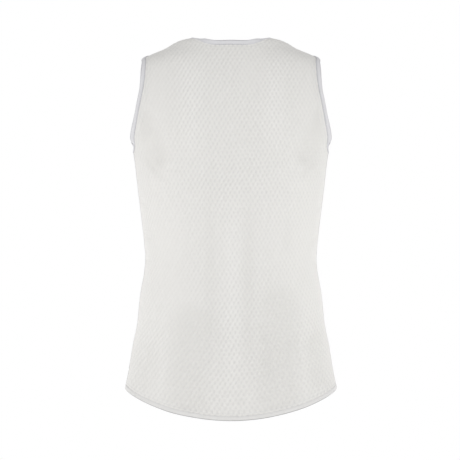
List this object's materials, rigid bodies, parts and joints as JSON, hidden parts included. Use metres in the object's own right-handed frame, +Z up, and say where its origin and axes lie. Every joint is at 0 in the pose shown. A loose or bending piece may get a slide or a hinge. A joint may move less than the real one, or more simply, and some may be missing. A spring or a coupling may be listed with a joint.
{
  "type": "sleeveless base layer",
  "caption": "Sleeveless mesh base layer, filled out as worn and hollow, with bound neck, armholes and curved hem.",
  "frame": {"origin": "level with the tops of the shoulders, midway between them, where a wearer's shoulders hold the garment", "axes": "+Z up, from the hem to the neck; -Y towards the back of the garment, +Y towards its front; +X to the wearer's right"},
  "size_m": [0.348, 0.233, 0.6177],
  "materials": {
    "diamond_mesh": "white diamond mesh knit, soft dull sheen",
    "binding_strip": "cool white elastic binding, fine rib"
  },
  "bodies": {
    "root": {"back_panel": "diamond_mesh", "front_panel": "diamond_mesh", "neck_binding": "binding_strip", "armhole_binding_left": "binding_strip", "armhole_binding_right": "binding_strip", "hem_binding": "binding_strip"}
  },
  "joints": []
}
